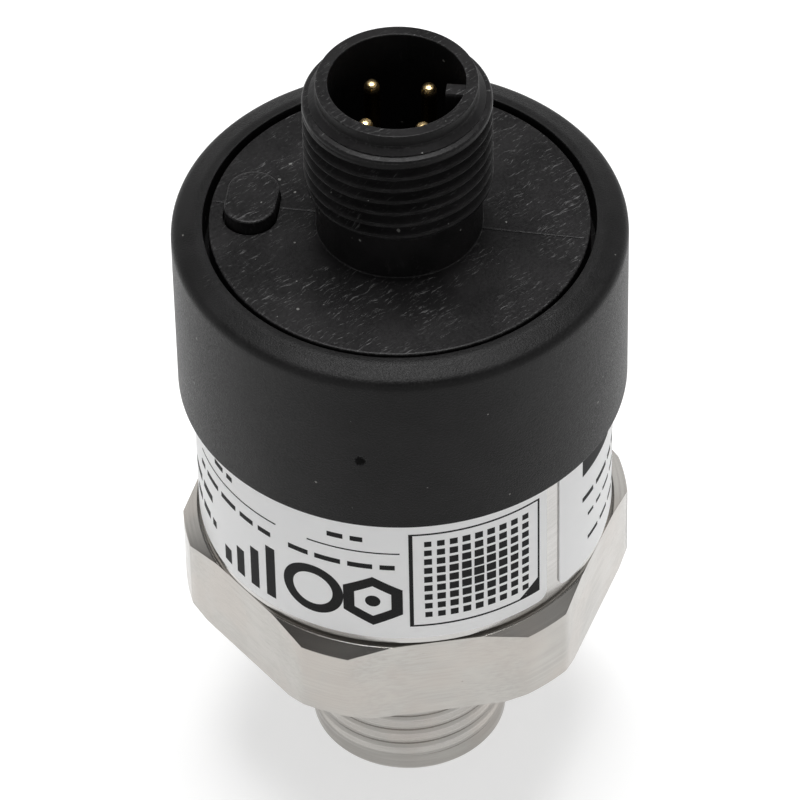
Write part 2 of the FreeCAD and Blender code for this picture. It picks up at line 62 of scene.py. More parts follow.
def sums(tree, operation, first, second=0.0, third=0.0):
    """One step of arithmetic on two or three numbers, as a shader node's output."""
    return put(tree, "Math", {0: first, 1: second, 2: third}, operation=operation).outputs[0]


def fade(tree, value, low, high, start=0.0, end=1.0):
    """Start below low, end above high and a smooth S between, from one value."""
    return put(tree, "MapRange", {"Value": value, "From Min": low, "From Max": high,
                                  "To Min": start, "To Max": end},
               interpolation_type="SMOOTHSTEP").outputs["Result"]


def tint(tree, share, first, second):
    """The first colour where share is 0 and the second where it is 1."""
    mixed = put(tree, "Mix", {0: share, 6: first, 7: second}, data_type="RGBA")
    return mixed.outputs[2]


def colour(red, green, blue):
    """A colour with full alpha."""
    return (red, green, blue, 1.0)


def group(name, inputs, outputs):
    """An empty node group with named number or vector sockets, and its two end nodes."""
    tree = bpy.data.node_groups.new(name, "ShaderNodeTree")
    for socket, kind, start in inputs:
        made = tree.interface.new_socket(socket, in_out="INPUT", socket_type="NodeSocket" + kind)
        if start is not None:
            made.default_value = start
    for socket in outputs:
        tree.interface.new_socket(socket, in_out="OUTPUT", socket_type="NodeSocketFloat")
    return tree, tree.nodes.new("NodeGroupInput").outputs, tree.nodes.new("NodeGroupOutput").inputs


def use(tree, shared, sockets):
    """Places a shared group in a material and returns its outputs."""
    made = put(tree, "Group", node_tree=shared)
    for name, value in sockets.items():
        if isinstance(value, bpy.types.NodeSocket):
            tree.links.new(value, made.inputs[name])
        else:
            made.inputs[name].default_value = value
    return made.outputs


def finish_of(name, **sockets):
    """A new material with one Principled shader; returns material, tree, shader and place in mm."""
    made = bpy.data.materials.new(name)
    made.use_nodes = True
    tree = made.node_tree
    shader = tree.nodes["Principled BSDF"]
    for socket, value in sockets.items():
        shader.inputs[socket.replace("_", " ")].default_value = value
    place = put(tree, "TexCoord").outputs["Object"]
    place = put(tree, "VectorMath", {0: place, "Scale": 1 / MM}, operation="SCALE").outputs[0]
    return made, tree, shader.inputs, place


def raised(tree, shader, height, depth):
    """Bumps the shader's normal by a height from 0 to 1 that stands for depth in mm."""
    bump = put(tree, "Bump", {"Height": height, "Distance": depth * MM, "Strength": 1.0})
    tree.links.new(bump.outputs["Normal"], shader["Normal"])


def softened(outline, closed=False):
    """Corners (radius, height, ease) of an outline in mm, each eased into a curve.

    A corner C with ease e starts at P and ends at Q, both e away from C on its two sides, and
    runs (1 - t)^2 P + 2 t (1 - t) C + t^2 Q. A point half an ease before P and after Q keeps
    the runs between flat. The third number that comes out is 1 on a curve and 0 off it.
    """
    corners = np.array(outline, float)
    spots, ease = corners[:, None, :2], corners[:, None, 2:]
    before, after = np.roll(spots, 1, 0), np.roll(spots, -1, 0)
    if not closed:
        before[0], after[-1] = spots[0], spots[-1]
    back, on = before - spots, after - spots
    back = back / np.maximum(np.linalg.norm(back, axis=2, keepdims=True), 1e-9)
    on = on / np.maximum(np.linalg.norm(on, axis=2, keepdims=True), 1e-9)
    turn = np.linspace(0, 1, 6)[None, :, None]
    curve = spots + ease * ((1 - turn) ** 2 * back + turn ** 2 * on)
    points = np.concatenate([spots + 1.5 * ease * back, curve, spots + 1.5 * ease * on], 1)
    edge = np.broadcast_to(np.sin(np.linspace(0, np.pi, 8))[None, :, None], points.shape[:2] + (1,))
    points = np.concatenate([points, edge * (ease > 0)], 2).reshape(-1, 3)
    apart = np.linalg.norm(np.diff(points[:, :2], axis=0), axis=1) > 1e-6
    return points[np.concatenate([[True], apart])]


def paced(path, low, high, step):
    """The same path with more points on its first wall above low, step apart up to high."""
    run = np.concatenate([[0], np.cumsum(np.linalg.norm(np.diff(path[:, :2], axis=0), axis=1))])
    wall = np.argmax(path[:, 1] >= low)
    start = run[wall] + low - path[wall, 1]
    added = np.arange(start, start + high - low, step)
    stops = np.unique(np.round(np.concatenate([run, added]), 6))
    return np.stack([np.interp(stops, run, path[:, part]) for part in range(3)], 1)


def carried(path, bearings, reach=None):
    """Carries an outline (radius, height, edge) round the axis: x = r cos a, y = r sin a."""
    radius = np.broadcast_to(path[:, :1], (len(path), bearings.shape[-1]))
    height, edge = (np.broadcast_to(path[:, part:part + 1], radius.shape) for part in (1, 2))
    if reach is not None:
        radius, edge = reach(radius, height, edge, bearings)
    return np.stack([radius * np.cos(bearings), radius * np.sin(bearings), height, edge], -1)


def skin(grid, loop=False):
    """Faces between neighbouring points of a (rows, columns) grid whose columns go all round.

    A row whose points coincide is one pole, and with loop the last row joins the first.
    """
    if grid.shape[2] == 3:
        grid = np.concatenate([grid, np.zeros(grid.shape[:2] + (1,))], 2)
    rows, columns = grid.shape[:2]
    index = np.arange(rows * columns).reshape(rows, columns)
    pole = np.ptp(grid[..., :3], axis=1).max(axis=1) < 1e-7
    index[pole] = index[pole][:, :1]
    upper = np.roll(index, -1, 0)
    lower, upper = (index, upper) if loop else (index[:-1], upper[:-1])
    quads = np.stack([lower, np.roll(lower, -1, 1), np.roll(upper, -1, 1), upper], -1)
    return grid.reshape(-1, 4), quads.reshape(-1, 4)


def piece(name, parts, finish, crease=32.0):
    """Makes one mesh object from several (points, faces) in mm, smooth but for its creases."""
    points, faces, count = [], [], 0
    for spots, quads in parts:
        used, packed = np.unique(quads, return_inverse=True)
        points.append(spots[used])
        faces.append(packed.reshape(quads.shape) + count)
        count += len(used)
    points, quads = np.concatenate(points), np.concatenate(faces)
    low, high = quads[:, 0] == quads[:, 1], quads[:, 2] == quads[:, 3]
    sides = quads[~low & ~high].tolist() + quads[low & ~high][:, [0, 2, 3]].tolist()
    mesh = bpy.data.meshes.new(name)
    mesh.from_pydata(points[:, :3] * MM, [], sides + quads[high & ~low][:, :3].tolist())
    mesh.attributes.new("edge", "FLOAT", "POINT").data.foreach_set(
        "value", points[:, 3].astype(np.float32))
    mesh.polygons.foreach_set("use_smooth", np.ones(len(mesh.polygons), bool))
    mesh.set_sharp_from_angle(angle=np.radians(crease))
    mesh.materials.append(finish)
    made = bpy.data.objects.new(name, mesh)
    bpy.context.scene.collection.objects.link(made)
    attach(made, "root")
    return made


# Shared effect: fine rings from turning, by radius and height.
turning, given, out = group("turning_lines", [
    ("Place", "Vector", None), ("Fineness", "Float", 9.0)], ["Height", "Tone"])
apart = put(turning, "SeparateXYZ", {0: given["Place"]}).outputs
flat = put(turning, "CombineXYZ", {0: apart[0], 1: apart[1]}).outputs[0]
reach = put(turning, "VectorMath", {0: flat}, operation="LENGTH").outputs["Value"]
spot = put(turning, "CombineXYZ", {
    0: sums(turning, "MULTIPLY", reach, given["Fineness"]),
    1: sums(turning, "MULTIPLY", apart[2], given["Fineness"]),
    2: sums(turning, "MULTIPLY", sums(turning, "ARCTAN2", apart[1], apart[0]), 1.5)}).outputs[0]
rings = put(turning, "TexNoise", {"Vector": spot, "Scale": 1.0, "Detail": 3.0, "Roughness": 0.6})
cloud = put(turning, "TexNoise", {"Vector": given["Place"], "Scale": 0.35, "Detail": 2.0})
turning.links.new(rings.outputs[0], out["Height"])
turning.links.new(sums(turning, "ADD", sums(turning, "MULTIPLY", rings.outputs[0], 0.6),
                       sums(turning, "MULTIPLY", cloud.outputs[0], 0.4)), out["Tone"])

# Shared effect: sparse small specks, each in its own cell of a jittered lattice.
specks, given, out = group("loose_specks", [
    ("Place", "Vector", None), ("Density", "Float", 1.0), ("Share", "Float", 0.1),
    ("Size", "Float", 0.12)], ["Mask"])
cells = put(specks, "TexVoronoi", {"Vector": given["Place"], "Scale": given["Density"]})
pick = put(specks, "SeparateColor", {0: cells.outputs["Color"]}).outputs
ragged = put(specks, "TexNoise", {"Vector": given["Place"], "Scale": 6.0, "Detail": 2.0})
near = sums(specks, "MULTIPLY", sums(specks, "MULTIPLY", given["Size"], pick[1]), ragged.outputs[0])
specks.links.new(
    sums(specks, "MULTIPLY",
         sums(specks, "LESS_THAN", cells.outputs["Distance"], near),
         sums(specks, "LESS_THAN", pick[0], given["Share"])), out["Mask"])

steel, tree, shader, place = finish_of("satin_steel", Metallic=1.0, Roughness=0.3)
lines = use(tree, turning, {"Place": place, "Fineness": 7.0})
grime = use(tree, specks, {"Place": place, "Density": 1.3, "Share": 0.12, "Size": 0.2})
base = tint(tree, fade(tree, lines["Tone"], 0.35, 0.65), colour(0.46, 0.445, 0.42), colour(*STEEL))
stain = put(tree, "TexNoise", {"Vector": place, "Scale": 0.22, "Detail": 3.0}).outputs[0]
base = tint(tree, fade(tree, stain, 0.42, 0.62, 0.0, 0.55), base, colour(0.46, 0.424, 0.39))
tree.links.new(tint(tree, sums(tree, "MULTIPLY", grime["Mask"], 0.6), base,
                    colour(0.25, 0.24, 0.22)), shader["Base Color"])
tree.links.new(fade(tree, lines["Tone"], 0.3, 0.7, 0.17, 0.27), shader["Roughness"])
raised(tree, shader, lines["Height"], 0.0005)

STEM, STEM_LENGTH, STEM_END, STEM_BEVEL = 6.579, 13.5, 6.4, 0.3
INLET, INLET_BEVEL, UNDERCUT = 2.5, 0.5, 5.55
PIPE_PITCH, PIPE_DEPTH, PIPE_ROOT, PIPE_FROM, PIPE_TO = 1.337, 0.22, 0.05, 0.85, 11.4
HALF_ACROSS, CORNER, HEX_TOP, CROWN, CROWN_TOP = 13.5, 14.75, 19.42, 13.8, 20.05
SPIGOT, SPIGOT_TOP, SEAL_SEAT, HEX_FACE, HEX_BEVEL = 12.7, 23.2, 13.4, 14.2, 0.45
ON_WALL, POINTS_PER_PITCH = 0.02, 20


def threaded(radius, height, edge, bearings, crest, start, end, pitch, depth, root):
    """A screw groove cut into the wall of radius crest, from start to end.

    With f the distance of (z - root) / pitch - bearing / turn from the nearest whole number, the
    groove is 1 at f = 0 and falls along a rounded flank to 0 near f = 0.5. It runs out within
    half a pitch at both ends, and its crests count as edges.
    """
    turn = (height - root) / pitch - bearings / (2 * np.pi)
    flank = np.clip((0.47 - np.abs(turn - np.round(turn))) / 0.36, 0, 1)
    groove = 0.45 * flank + 0.55 * flank * flank * (3 - 2 * flank)
    run_out = np.clip(2 * np.minimum(height - start, end - height) / pitch, 0, 1)
    wall = np.abs(radius - crest) < ON_WALL
    cut = groove * run_out * wall
    crests = 0.4 * (1 - flank) ** 2 * (run_out > 0) * wall
    return radius - depth * cut, np.maximum(edge, crests)


def six_flats(radius):
    """Bearings round a hexagon that gather where the flats run into the turned corners.

    Each half sector of 30 degrees is split at the angle arccos(apothem / radius) where the
    flat meets the round, so that a line of points follows that edge on every height. Nine
    steps lead from the middle of the flat to the split, and five from there to the corner.
    """
    share = np.concatenate([np.linspace(0, 1, 10), 1 + np.linspace(0, 1, 6)[1:]])
    split = np.degrees(np.arccos(np.clip(HALF_ACROSS / np.maximum(radius, 1), 0, 1)))
    split = np.clip(split, 11.0, 24.0)[:, None]
    half = np.where(share <= 1, share * split, split + (share - 1) * (30 - split))
    sector = np.concatenate([-half[:, :0:-1], half[:, :-1]], 1)
    sectors = sector[:, None, :] + 60 * np.arange(6)[None, :, None]
    return np.radians(sectors.reshape(len(half), -1))


port_path = softened([
    (INLET + INLET_BEVEL, 0.0, 0.0), (STEM_END, 0.0, 0.05), (STEM, STEM_BEVEL, 0.05),
    (STEM, 11.5, 0.1), (UNDERCUT, 12.5, 0.1), (UNDERCUT, STEM_LENGTH, 0.1),
    (SEAL_SEAT, STEM_LENGTH, 0), (HEX_FACE, STEM_LENGTH, 0.06),
    (CORNER, STEM_LENGTH + HEX_BEVEL, 0.06), (CORNER, HEX_TOP, 0.05), (CROWN, CROWN_TOP, 0.05),
    (SPIGOT, CROWN_TOP, 0), (SPIGOT, SPIGOT_TOP, 0), (INLET, SPIGOT_TOP, 0),
    (INLET, INLET_BEVEL, 0.0)], closed=True)
port_path = paced(port_path, PIPE_FROM - 0.05, PIPE_TO, PIPE_PITCH / POINTS_PER_PITCH)


def port_reach(radius, height, edge, bearings):
    """The smaller of the turned radius and apothem / cos(angle from the flat's middle)."""
    radius, edge = threaded(radius, height, edge, bearings, STEM, PIPE_FROM, PIPE_TO,
                            PIPE_PITCH, PIPE_DEPTH, PIPE_ROOT)
    off = (bearings + np.pi / 6) % (np.pi / 3) - np.pi / 6
    flat_reach = HALF_ACROSS / np.cos(off)
    hexagon = (height >= STEM_LENGTH - 0.001) & (height <= CROWN_TOP + 0.001)
    return (np.where(hexagon, np.minimum(radius, flat_reach), radius),
            np.where(hexagon & (np.abs(radius - flat_reach) < 0.03), 1.0, edge))


port = piece("process_port", [
    skin(carried(port_path, six_flats(port_path[:, 0]), port_reach), loop=True)],
    steel)
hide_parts("pressure_port")

# Thread seal. A black rubber ring of square section sits in a groove under the hexagon and
# stands a little proud of it. The case and the disc have rubber rings of the same kind.


def dressed(finish, *nodes):
    """Gives solids of the frame a finish in place of their plain one."""
    for node in nodes:
        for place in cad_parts[node].material_slots:
            place.material = finish


rubber, tree, shader, place = finish_of("seal_rubber", Roughness=0.55)
bloom = put(tree, "TexNoise", {"Vector": place, "Scale": 2.5, "Detail": 4.0}).outputs[0]
tree.links.new(tint(tree, fade(tree, bloom, 0.4, 0.7), colour(0.012, 0.012, 0.013),
                    colour(0.022, 0.022, 0.023)), shader["Base Color"])
raised(tree, shader, bloom, 0.01)
dressed(rubber, "thread_seal", "case_seal", "face_seal")

# Sensing cell. A steel cup is welded over the bore, and a thin gauge layer lies on its
# membrane. The weld leaves a faint straw tint.
cell, tree, shader, place = finish_of("cell_steel", Metallic=1.0, Roughness=0.22)
lines = use(tree, turning, {"Place": place, "Fineness": 14.0})
tree.links.new(tint(tree, fade(tree, lines["Tone"], 0.3, 0.7), colour(0.50, 0.46, 0.38),
                    colour(0.62, 0.60, 0.57)), shader["Base Color"])
raised(tree, shader, lines["Height"], 0.002)
dressed(cell, "sensor_cell")

gauge, tree, shader, place = finish_of("gauge_layer", Metallic=0.4, Roughness=0.35)
trace = put(tree, "TexWave", {"Vector": place, "Scale": 1.6, "Distortion": 0.6}).outputs["Fac"]
tree.links.new(tint(tree, fade(tree, trace, 0.4, 0.6), colour(0.10, 0.07, 0.03),
                    colour(0.45, 0.33, 0.12)), shader["Base Color"])
raised(tree, shader, trace, 0.003)
dressed(gauge, "strain_gauge", "gauge_foil")

# Boards. A moulded carrier holds a small board round the cell and the main board above it,
# joined by a polyimide ribbon. Chips, capacitors, a diode and a choke are soldered on.
carrier, tree, shader, place = finish_of("carrier_plastic", Roughness=0.5)
flow = put(tree, "TexNoise", {"Vector": place, "Scale": 3.0, "Detail": 5.0}).outputs[0]
tree.links.new(tint(tree, flow, colour(0.55, 0.53, 0.47), colour(0.66, 0.64, 0.58)),
               shader["Base Color"])
raised(tree, shader, flow, 0.008)
dressed(carrier, "board_carrier")

laminate, tree, shader, place = finish_of("board_laminate", Roughness=0.4)
weave = put(tree, "TexBrick", {"Vector": place, "Scale": 3.0, "Color1": colour(0.01, 0.09, 0.035),
                               "Color2": colour(0.014, 0.12, 0.05),
                               "Mortar": colour(0.006, 0.06, 0.022)})
tree.links.new(weave.outputs["Color"], shader["Base Color"])
raised(tree, shader, weave.outputs["Fac"], -0.005)
dressed(laminate, "sensor_board", "main_board")

film, tree, shader, place = finish_of("ribbon_film", Roughness=0.25)
tracks = put(tree, "TexWave", {"Vector": place, "Scale": 1.1}, bands_direction="Y").outputs["Fac"]
tree.links.new(tint(tree, fade(tree, tracks, 0.45, 0.55), colour(0.42, 0.13, 0.015),
                    colour(0.26, 0.09, 0.012)), shader["Base Color"])
raised(tree, shader, tracks, 0.01)
dressed(film, "flex_ribbon")

resin, tree, shader, place = finish_of("chip_resin", Roughness=0.6)
grain = put(tree, "TexNoise", {"Vector": place, "Scale": 14.0, "Detail": 4.0}).outputs[0]
tree.links.new(tint(tree, grain, colour(0.012, 0.012, 0.013), colour(0.03, 0.03, 0.032)),
               shader["Base Color"])
raised(tree, shader, grain, 0.01)
dressed(resin, "signal_converter", "output_amplifier", "surge_diode")

ceramic, tree, shader, place = finish_of("ceramic_chip", Roughness=0.45)
grain = put(tree, "TexNoise", {"Vector": place, "Scale": 8.0, "Detail": 3.0}).outputs[0]
tree.links.new(tint(tree, grain, colour(0.30, 0.20, 0.11), colour(0.40, 0.28, 0.17)),
               shader["Base Color"])
raised(tree, shader, grain, 0.006)
dressed(ceramic, "filter_capacitor", "choke")

can, tree, shader, place = finish_of("can_metal", Metallic=1.0, Roughness=0.25)
lines = use(tree, turning, {"Place": place, "Fineness": 10.0})
tree.links.new(tint(tree, lines["Tone"], colour(0.62, 0.62, 0.63), colour(0.78, 0.78, 0.79)),
               shader["Base Color"])
raised(tree, shader, lines["Height"], 0.003)
dressed(can, "buffer_capacitor")

# Contacts. A brass post grounds the board, and four turned and gilded pins with domed tips
# stand in the socket. Their collars seat under the moulding and their tails are soldered.
brass, tree, shader, place = finish_of("post_brass", Metallic=1.0, Roughness=0.3)
lines = use(tree, turning, {"Place": place, "Fineness": 12.0})
tree.links.new(tint(tree, lines["Tone"], colour(0.55, 0.38, 0.12), colour(0.72, 0.52, 0.2)),
               shader["Base Color"])
raised(tree, shader, lines["Height"], 0.003)
dressed(brass, "ground_post")

gold, tree, shader, place = finish_of("contact_gold", Metallic=1.0, Roughness=0.2)
wipe = put(tree, "TexNoise", {"Vector": place, "Scale": 5.0, "Detail": 4.0}).outputs[0]
gilt = tint(tree, fade(tree, wipe, 0.3, 0.7), colour(0.66, 0.46, 0.20), colour(0.86, 0.66, 0.36))
# Below their domed tips the pins are painted a dark gold: painted shade of the deep socket on their
# shanks.
above = put(tree, "SeparateXYZ", {0: place}).outputs[2]
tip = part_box("contact_pin_1")[1][2] / MM
tree.links.new(tint(tree, fade(tree, above, tip - 0.75, tip - 0.45),
                    colour(0.10, 0.06, 0.015), gilt), shader["Base Color"])
tree.links.new(fade(tree, wipe, 0.3, 0.7, 0.25, 0.35), shader["Roughness"])
raised(tree, shader, wipe, 0.001)

PIN, DOME, DOME_RISE = 0.5, 0.36, 0.42
for index in range(1, 5):
    node = "contact_pin_%d" % index
    low, high = (np.array(corner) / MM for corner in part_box(node))
    foot, tip = low[2], high[2]
    middle = (low + high) / 2
    path = softened([(0, foot, 0), (PIN, foot, 0.08), (PIN, tip - DOME_RISE, 0.1),
                     (DOME, tip - 0.12, 0.1), (0, tip, 0)])
    points, quads = skin(carried(path, np.linspace(0, 2 * np.pi, 49)[:-1]))
    pin = piece("contact_%d" % index, [(points + [middle[0], middle[1], 0, 0], quads)],
                gold)
    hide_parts(node)

# Connector moulding. One black glass-filled part makes the disc, the neck, the round plug with
# its screw thread, and the socket with its coding key. The mould halves meet in a fine ridge.
grain_group, given, out = group("moulded_grain", [
    ("Place", "Vector", None), ("Fineness", "Float", 5.0)], ["Height", "Tone"])
fine = put(grain_group, "TexNoise", {"Vector": given["Place"], "Scale": given["Fineness"],
                                     "Detail": 5.0, "Roughness": 0.62})
broad = put(grain_group, "TexNoise", {"Vector": given["Place"], "Scale": 0.28, "Detail": 4.0})
grain_group.links.new(fine.outputs[0], out["Height"])
grain_group.links.new(broad.outputs[0], out["Tone"])

wisp_group, given, out = group("flow_wisps", [
    ("Place", "Vector", None), ("Length", "Float", 0.8), ("Share", "Float", 0.5)], ["Mask"])
cloud = put(wisp_group, "TexNoise", {"Vector": given["Place"], "Scale": 0.3, "Detail": 3.0})
bend = put(wisp_group, "TexNoise", {"Vector": given["Place"], "Scale": 0.7, "Detail": 2.0})
drift = put(wisp_group, "VectorMath", {0: bend.outputs["Color"], "Scale": 0.7}, operation="SCALE")
drift = put(wisp_group, "VectorMath", {0: given["Place"], 1: drift.outputs[0]})
masks = []
for lean, share in ((-0.66, 0.56), (0.1, 0.6), (-1.5, 0.62)):
    drawn = put(wisp_group, "Mapping", {"Vector": drift.outputs[0], "Scale": (1.3, 9.0, 1.0),
                                        "Rotation": (0.0, 0.0, lean)})
    streak = put(wisp_group, "TexNoise", {"Vector": drawn.outputs[0], "Scale": given["Length"],
                                          "Detail": 6.0, "Roughness": 0.75})
    masks.append(fade(wisp_group, streak.outputs[0], share, share + 0.12))
mask = sums(wisp_group, "MAXIMUM", sums(wisp_group, "MAXIMUM", masks[0], masks[1]), masks[2])
wisp_group.links.new(
    sums(wisp_group, "MULTIPLY", mask, fade(wisp_group, cloud.outputs[0], given["Share"],
                                            sums(wisp_group, "ADD", given["Share"], 0.15))),
    out["Mask"])


def black_plastic(name, base, pale, rough, fineness, grain_depth, wisps, speck_share, dust_and_top_light,
                  wear_and_highlight_share, marks=()):
    """Black moulding: grain and cloud, pale edges that are partly wear and partly painted
    highlight, a pale tint on its upper faces that is partly dust and partly painted top light, and
    wisps.

    Each mark is (place, size, shade): a small pit or speck of that shade round a place in mm. A
    dark pit's shade is painted shade in its hollow.
    It covers what lies nearer to its place than about its size, with the grain on its rim.
    """
    made, tree, shader, place = finish_of(name, Specular_IOR_Level=0.152)
    grain = use(tree, grain_group, {"Place": place, "Fineness": fineness})
    wisp = use(tree, wisp_group, {"Place": place, "Share": wisps})
    speck = use(tree, specks, {"Place": place, "Density": 1.4, "Share": speck_share, "Size": 0.3})
    edge = put(tree, "Attribute", attribute_name="edge").outputs["Fac"]
    up = put(tree, "SeparateXYZ", {0: put(tree, "NewGeometry").outputs["Normal"]}).outputs[2]
    tone = tint(tree, fade(tree, grain["Tone"], 0.35, 0.65), base, pale)
    # Upward faces are tinted paler: partly dust, partly painted top light.
    dust_and_top_light_mask = sums(tree, "MULTIPLY", fade(tree, up, 0.5, 0.97),
                 fade(tree, grain["Tone"], 0.3, 0.7, 0.3, 0.75))
    tone = tint(tree, sums(tree, "MULTIPLY", dust_and_top_light_mask, dust_and_top_light), tone, colour(0.06, 0.058, 0.06))
    # Rounded edges and thread crests are tinted paler: partly wear, partly painted highlight.
    wear_and_highlight = sums(tree, "MULTIPLY", edge, fade(tree, grain["Height"], 0.45, 0.7))
    tone = tint(tree, sums(tree, "MULTIPLY", wear_and_highlight, wear_and_highlight_share), tone, colour(0.10, 0.10, 0.10))
    drift = sums(tree, "MULTIPLY", sums(tree, "MULTIPLY", wisp["Mask"], 0.5),
                 fade(tree, up, 0.8, 0.97, 0.1, 1.0))
    tone = tint(tree, drift, tone, colour(0.24, 0.24, 0.24))
    tone = tint(tree, sums(tree, "MULTIPLY", speck["Mask"], 0.7), tone, colour(0.22, 0.22, 0.21))
    height = grain["Height"]
    dull = fade(tree, grain["Height"], 0.3, 0.7, rough - 0.09, rough + 0.09)
    for spot, size, shade in marks:
        away = put(tree, "VectorMath", {0: place, 1: tuple(spot)}, operation="DISTANCE")
        away = sums(tree, "ADD", away.outputs["Value"],
                    sums(tree, "MULTIPLY", grain["Height"], size))
        here = fade(tree, away, size * 0.9, size * 1.3, 1.0, 0.0)
        # A dark pit's tone here is painted shade in its hollow; a pale speck's tone is its own
        # colour.
        tone = tint(tree, here, tone, colour(shade, shade, shade))
        height = sums(tree, "SUBTRACT", height, sums(tree, "MULTIPLY", here, 4.0))
        dull = sums(tree, "MAXIMUM", dull, here)
    tree.links.new(tone, shader["Base Color"])
    tree.links.new(dull, shader["Roughness"])
    raised(tree, shader, height, grain_depth)
    return made


face_plastic = black_plastic(
    "face_plastic", colour(0.0045, 0.0043, 0.0045), colour(0.008, 0.0075, 0.0078), rough=0.38,
    fineness=5.0, grain_depth=0.008, wisps=0.37, speck_share=0.12, dust_and_top_light=0.22, wear_and_highlight_share=0.24)
foot, top = (corner[2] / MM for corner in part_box("connector_face"))
SKIRT, FLANGE, FACE, NECK, PLUG, RIM, SOCKET = 10.2, 13.1, 12.18, 5.3, 6.0, 5.12, 4.34
face_top, neck_top, socket_floor = top - 11.96, top - 8.56, top - 9.0
FLANGE_RISE, SEAT_DEPTH = 2.0, 2.5
PLUG_PITCH, PLUG_DEPTH, PLUG_ROOT = 1.0, 0.61, 3.01
plug_path = softened([
    (0, foot + SEAT_DEPTH, 0), (SKIRT, foot + SEAT_DEPTH, 0), (SKIRT, foot, 0),
    (FLANGE, foot, 0.05), (FLANGE, foot + FLANGE_RISE, 0.05), (FACE, foot + FLANGE_RISE, 0.05),
    (FACE, face_top, 0.16),
    (NECK, face_top, 0.08), (NECK, neck_top, 0.15), (PLUG - 0.1, neck_top + 0.6, 0.08),
    (PLUG, neck_top + 0.7, 0.04), (PLUG, top - 1.5, 0.05), (5.9, top - 1.36, 0.05),
    (5.55, top - 1.28, 0.04), (5.6, top - 1.2, 0.03), (5.17, top - 0.88, 0.06),
    (RIM, top - 0.8, 0.03), (RIM, top, 0.09), (SOCKET, top, 0.09), (SOCKET, socket_floor, 0.1),
    (0, socket_floor, 0)])
plug_path = paced(plug_path, neck_top + 0.4, top - 1.6, PLUG_PITCH / POINTS_PER_PITCH)
around = np.linspace(0, 2 * np.pi, 289)[:-1]


def plug_reach(radius, height, edge, bearings):
    """Cuts the screw thread into the plug's outer wall."""
    return threaded(radius, height, edge, bearings, PLUG, neck_top + 0.5, top - 1.75,
                    PLUG_PITCH, PLUG_DEPTH, top - PLUG_ROOT)


def bar(start, end, half, sink, rise, ease):
    """A straight ridge of width 2 half from start to end, closed by a pole at each end.

    Round its section, across is half |cos t| ^ ease with the sign of cos t. Up is rise
    |sin t| ^ ease above the line and sink |sin t| ^ ease below it. An ease of 1 makes an
    ellipse, and a small one nearly a rectangle.
    """
    along = np.linspace(0, 1, 3)[:, None]
    start, end = np.array(start, float), np.array(end, float)
    line = start + along * (end - start)
    side = np.array([-(end - start)[1], (end - start)[0]]) / np.linalg.norm(end - start)
    turn = np.linspace(0, 2 * np.pi, 25)[:-1]
    across = half * np.sign(np.cos(turn)) * np.abs(np.cos(turn)) ** ease
    up = np.sign(np.sin(turn)) * np.abs(np.sin(turn)) ** ease
    up = up * np.where(up > 0, rise, sink)
    grid = np.concatenate([
        line[:, None, :] + across[None, :, None] * side[None, None, :],
        np.broadcast_to(up[None, :, None], (3, len(turn), 1))], -1)
    closing = np.broadcast_to(grid[[0, -1]].mean(1, keepdims=True), (2, len(turn), 3))
    return np.concatenate([closing[:1], grid, closing[1:]])


plug = piece("connector_moulding", [skin(carried(plug_path, around, plug_reach))],
             face_plastic)
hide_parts("connector_face")
seam = np.radians(132.0)
seam = np.array([np.cos(seam), np.sin(seam)])
piece("mould_ridges", [
    skin(bar(seam * first, seam * last, half=0.09, sink=0.1, rise=0.05, ease=1.0)
         + [0, 0, face_top])
    for first, last in ((5.2, 7.7), (11.3, 11.85), (-11.85, -5.2))],
    face_plastic)
key_way = np.array([np.cos(-np.pi / 4), np.sin(-np.pi / 4)])
KEY_FROM, KEY_TO, KEY_HALF, KEY_BELOW_RIM = 3.1, 4.7, 0.6, 0.35
key_rise = (top - KEY_BELOW_RIM - socket_floor) / 2
piece("coding_key", [
    skin(bar(key_way * KEY_FROM, key_way * KEY_TO, KEY_HALF, key_rise, key_rise, ease=0.2)
         + [0, 0, socket_floor + key_rise])], face_plastic)

# Vent. An oval cap stands in a recess of the disc and covers a porous white film, which lets
# the case breathe. A thin dark gap runs round it.
membrane, tree, shader, place = finish_of("membrane_film", Roughness=0.7)
pores = put(tree, "TexNoise", {"Vector": place, "Scale": 20.0, "Detail": 3.0}).outputs[0]
tree.links.new(tint(tree, pores, colour(0.6, 0.6, 0.58), colour(0.75, 0.75, 0.73)),
               shader["Base Color"])
raised(tree, shader, pores, 0.01)
dressed(membrane, "vent_membrane")
low, high = (np.array(corner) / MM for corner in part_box("vent_cap"))
centre = (low + high) / 2
VENT_LONG, VENT_WIDE, RECESS_SHARE = 4.8, 3.3, 1.07
vent_turn = np.arctan2(centre[1], centre[0])
turn = np.linspace(0, 2 * np.pi, 73)[:-1]
way = np.sign(np.sin(turn)) * (np.abs(np.sin(turn)) > 1e-9)
oval = np.stack([VENT_WIDE / 2 * np.cos(turn),
                 VENT_WIDE / 2 * np.sin(turn) + way * (VENT_LONG - VENT_WIDE) / 2], -1)


def oval_solid(path, bearing, middle):
    """An oval plan scaled by each row's radius, turned to its bearing and set at its height."""
    flat = oval[None] * path[:, :1, None]
    turned = np.stack([flat[..., 0] * np.cos(bearing) - flat[..., 1] * np.sin(bearing),
                       flat[..., 0] * np.sin(bearing) + flat[..., 1] * np.cos(bearing)], -1)
    rest = np.broadcast_to(path[:, None, 1:], turned.shape[:2] + (2,))
    return np.concatenate([turned + middle[:2], rest], -1)


